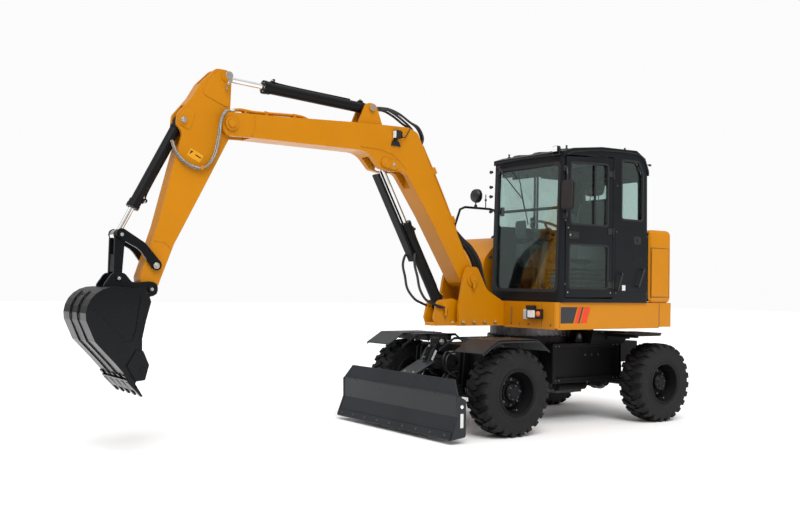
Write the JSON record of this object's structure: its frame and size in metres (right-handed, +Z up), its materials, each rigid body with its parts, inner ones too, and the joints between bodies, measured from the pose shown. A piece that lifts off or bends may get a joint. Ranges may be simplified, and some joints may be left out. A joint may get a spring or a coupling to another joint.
{
  "type": "wheeled excavator",
  "caption": "Wheeled excavator with a cab on a slewing deck, a cranked boom, arm and bucket moved by cylinders, and a front blade.",
  "frame": {"origin": "centre of the footprint of the whole machine's box, on the ground", "axes": "+X forward, +Y to the machine's left, +Z up"},
  "size_m": [6.4096, 2.06, 3.2092],
  "materials": {
    "yellow_paint": "gloss enamel",
    "black_paint": "satin enamel",
    "grey_paint": "satin enamel",
    "gloss_black": "gloss enamel",
    "tyre": "moulded rubber",
    "chrome": "polished",
    "cast_iron": "painted casting",
    "glass": "clear green tint",
    "seat_fabric": "woven",
    "grey_plastic": "grained"
  },
  "bodies": {
    "chassis": {"chassis_frame": "black_paint", "drive_line": "cast_iron", "front_axle": "black_paint", "front_fender_left": "grey_paint", "front_fender_right": "grey_paint", "rear_axle": "black_paint", "slew_ring": "cast_iron"},
    "upper": {"boom_bracket": "yellow_paint", "cab_floor": "black_paint", "cab_frame": "black_paint", "cab_roof": "black_paint", "counterweight": "yellow_paint", "deck": "yellow_paint", "engine_block": "cast_iron", "fuel_tank": "black_paint", "left_mirror": "black_paint", "quarter_window": "glass", "rear_window": "glass", "right_window": "glass", "seat_backrest": "seat_fabric", "seat_base": "grey_plastic", "seat_cushion": "seat_fabric", "steering_column": "grey_plastic", "windscreen": "glass"},
    "steering_rod": {"steering_rod": "chrome"},
    "knuckle_left": {"knuckle_left": "black_paint"},
    "knuckle_right": {"knuckle_right": "black_paint"},
    "wheel_front_left": {"rim_front_left": "black_paint", "tyre_front_left": "tyre"},
    "wheel_rear_left": {"rim_rear_left": "black_paint", "tyre_rear_left": "tyre"},
    "wheel_front_right": {"rim_front_right": "black_paint", "tyre_front_right": "tyre"},
    "wheel_rear_right": {"rim_rear_right": "black_paint", "tyre_rear_right": "tyre"},
    "blade": {"blade": "grey_paint"},
    "blade_barrel": {"blade_cylinder_barrel": "black_paint"},
    "blade_rod": {"blade_cylinder_rod": "chrome"},
    "engine_hood": {"engine_hood": "yellow_paint"},
    "right_hood": {"right_handrail": "black_paint", "right_hood": "yellow_paint"},
    "cab_door": {"cab_door": "black_paint", "door_window": "glass"},
    "boom": {"boom": "yellow_paint"},
    "boom_barrel": {"boom_cylinder_barrel": "black_paint"},
    "boom_rod": {"boom_cylinder_rod": "chrome", "rod_guard": "black_paint"},
    "arm": {"arm": "yellow_paint"},
    "arm_barrel": {"arm_cylinder_barrel": "black_paint"},
    "arm_rod": {"arm_cylinder_rod": "chrome"},
    "bucket_barrel": {"bucket_cylinder_barrel": "black_paint"},
    "bucket_rod": {"bucket_cylinder_rod": "chrome"},
    "guide_links": {"guide_links": "gloss_black"},
    "bucket_link": {"bucket_link": "gloss_black"},
    "bucket": {"bucket": "gloss_black"}
  },
  "joints": [
    {"name": "slew", "type": "hinge", "parent": "chassis", "child": "upper", "pos_m": [-1.58482, -0.07, 0], "axis": [0, 0, 1], "continuous": true},
    {"name": "steer_left", "type": "hinge", "parent": "chassis", "child": "knuckle_left", "pos_m": [-0.59482, 0.55, 0.415], "axis": [0, 0, 1], "range_deg": [-28, 28]},
    {"name": "steer_right", "type": "hinge", "parent": "chassis", "child": "knuckle_right", "pos_m": [-0.59482, -0.69, 0.415], "axis": [0, 0, 1], "range_deg": [-28, 28]},
    {"name": "steering_rod_slide", "type": "slide", "parent": "chassis", "child": "steering_rod", "axis": [0, 1, 0], "range_m": [-0.07, 0.07]},
    {"name": "wheel_front_left_spin", "type": "hinge", "parent": "knuckle_left", "child": "wheel_front_left", "pos_m": [-0.59482, 0.73, 0.415], "axis": [0, 1, 0], "continuous": true},
    {"name": "wheel_rear_left_spin", "type": "hinge", "parent": "chassis", "child": "wheel_rear_left", "pos_m": [-2.69482, 0.73, 0.415], "axis": [0, 1, 0], "continuous": true},
    {"name": "wheel_front_right_spin", "type": "hinge", "parent": "knuckle_right", "child": "wheel_front_right", "pos_m": [-0.59482, -0.87, 0.415], "axis": [0, 1, 0], "continuous": true},
    {"name": "wheel_rear_right_spin", "type": "hinge", "parent": "chassis", "child": "wheel_rear_right", "pos_m": [-2.69482, -0.87, 0.415], "axis": [0, 1, 0], "continuous": true},
    {"name": "blade_lift", "type": "hinge", "parent": "chassis", "child": "blade", "pos_m": [-0.43482, -0.07, 0.4], "axis": [0, -1, 0], "range_deg": [-18, 28]},
    {"name": "blade_barrel_swing", "type": "hinge", "parent": "chassis", "child": "blade_barrel", "pos_m": [-0.36482, -0.07, 0.85], "axis": [0, -1, 0], "range_deg": [-14, 14]},
    {"name": "blade_rod_slide", "type": "slide", "parent": "blade_barrel", "child": "blade_rod", "axis": [0.4874, 0, -0.8732], "range_m": [-0.2, 0.14]},
    {"name": "engine_hood_open", "type": "hinge", "parent": "upper", "child": "engine_hood", "pos_m": [-2.45982, -0.07, 2.03], "axis": [0, 1, 0], "range_deg": [0, 55]},
    {"name": "right_hood_open", "type": "hinge", "parent": "upper", "child": "right_hood", "pos_m": [-2.43982, -0.57, 1.95], "axis": [0, -1, 0], "range_deg": [0, 50]},
    {"name": "cab_door_open", "type": "hinge", "parent": "upper", "child": "cab_door", "pos_m": [-1.85682, 0.886, 2], "axis": [0, 0, 1], "range_deg": [0, 160]},
    {"name": "boom_lift", "type": "hinge", "parent": "upper", "child": "boom", "pos_m": [-0.66482, -0.07, 1.475], "axis": [0, -1, 0], "range_deg": [-66, 30]},
    {"name": "boom_barrel_swing", "type": "hinge", "parent": "upper", "child": "boom_barrel", "pos_m": [-0.38482, -0.07, 1.2], "axis": [0, -1, 0], "range_deg": [-75, 40]},
    {"name": "boom_rod_slide", "type": "slide", "parent": "boom_barrel", "child": "boom_rod", "axis": [0.4832, 0, 0.8755], "range_m": [-0.45, 0.25]},
    {"name": "arm_curl", "type": "hinge", "parent": "boom", "child": "arm", "pos_m": [1.96518, -0.07, 2.75], "axis": [0, 1, 0], "range_deg": [-54, 54]},
    {"name": "arm_barrel_swing", "type": "hinge", "parent": "boom", "child": "arm_barrel", "pos_m": [0.51518, -0.07, 3.07], "axis": [0, 1, 0], "range_deg": [-10, 10]},
    {"name": "arm_rod_slide", "type": "slide", "parent": "arm_barrel", "child": "arm_rod", "axis": [0.9986, 0, 0.0536], "range_m": [-0.36, 0.36]},
    {"name": "bucket_curl", "type": "hinge", "parent": "arm", "child": "bucket", "pos_m": [2.63018, -0.07, 1.335], "axis": [0, 1, 0], "range_deg": [-32, 105]},
    {"name": "guide_links_swing", "type": "hinge", "parent": "arm", "child": "guide_links", "pos_m": [2.59518, -0.07, 1.525], "axis": [0, 1, 0], "range_deg": [-40, 110]},
    {"name": "bucket_link_swing", "type": "hinge", "parent": "guide_links", "child": "bucket_link", "pos_m": [2.88218, -0.07, 1.765], "axis": [0, 1, 0], "range_deg": [-60, 30]},
    {"name": "bucket_barrel_swing", "type": "hinge", "parent": "arm", "child": "bucket_barrel", "pos_m": [2.38118, -0.07, 2.738], "axis": [0, 1, 0], "range_deg": [-15, 15]},
    {"name": "bucket_rod_slide", "type": "slide", "parent": "bucket_barrel", "child": "bucket_rod", "axis": [0.4578, 0, -0.8891], "range_m": [-0.2, 0.5]}
  ],
  "couplings": [
    {"joint": "steer_right", "follows": "steer_left", "ratio": 1},
    {"joint": "steering_rod_slide", "follows": "steer_left", "m_per_rad": -0.12489},
    {"joint": "blade_barrel_swing", "follows": "blade_lift", "ratio": 0.2471},
    {"joint": "blade_rod_slide", "follows": "blade_lift", "m_per_rad": -0.2881},
    {"joint": "boom_barrel_swing", "follows": "boom_lift", "ratio": 1.011},
    {"joint": "boom_rod_slide", "follows": "boom_lift", "m_per_rad": 0.34816},
    {"joint": "arm_barrel_swing", "follows": "arm_curl", "ratio": 0.03653},
    {"joint": "arm_rod_slide", "follows": "arm_curl", "m_per_rad": 0.35244},
    {"joint": "guide_links_swing", "follows": "bucket_curl", "ratio": 0.78153},
    {"joint": "bucket_link_swing", "follows": "bucket_curl", "ratio": -0.35759},
    {"joint": "bucket_barrel_swing", "follows": "bucket_curl", "ratio": 0.04941},
    {"joint": "bucket_rod_slide", "follows": "bucket_curl", "m_per_rad": 0.25143}
  ]
}
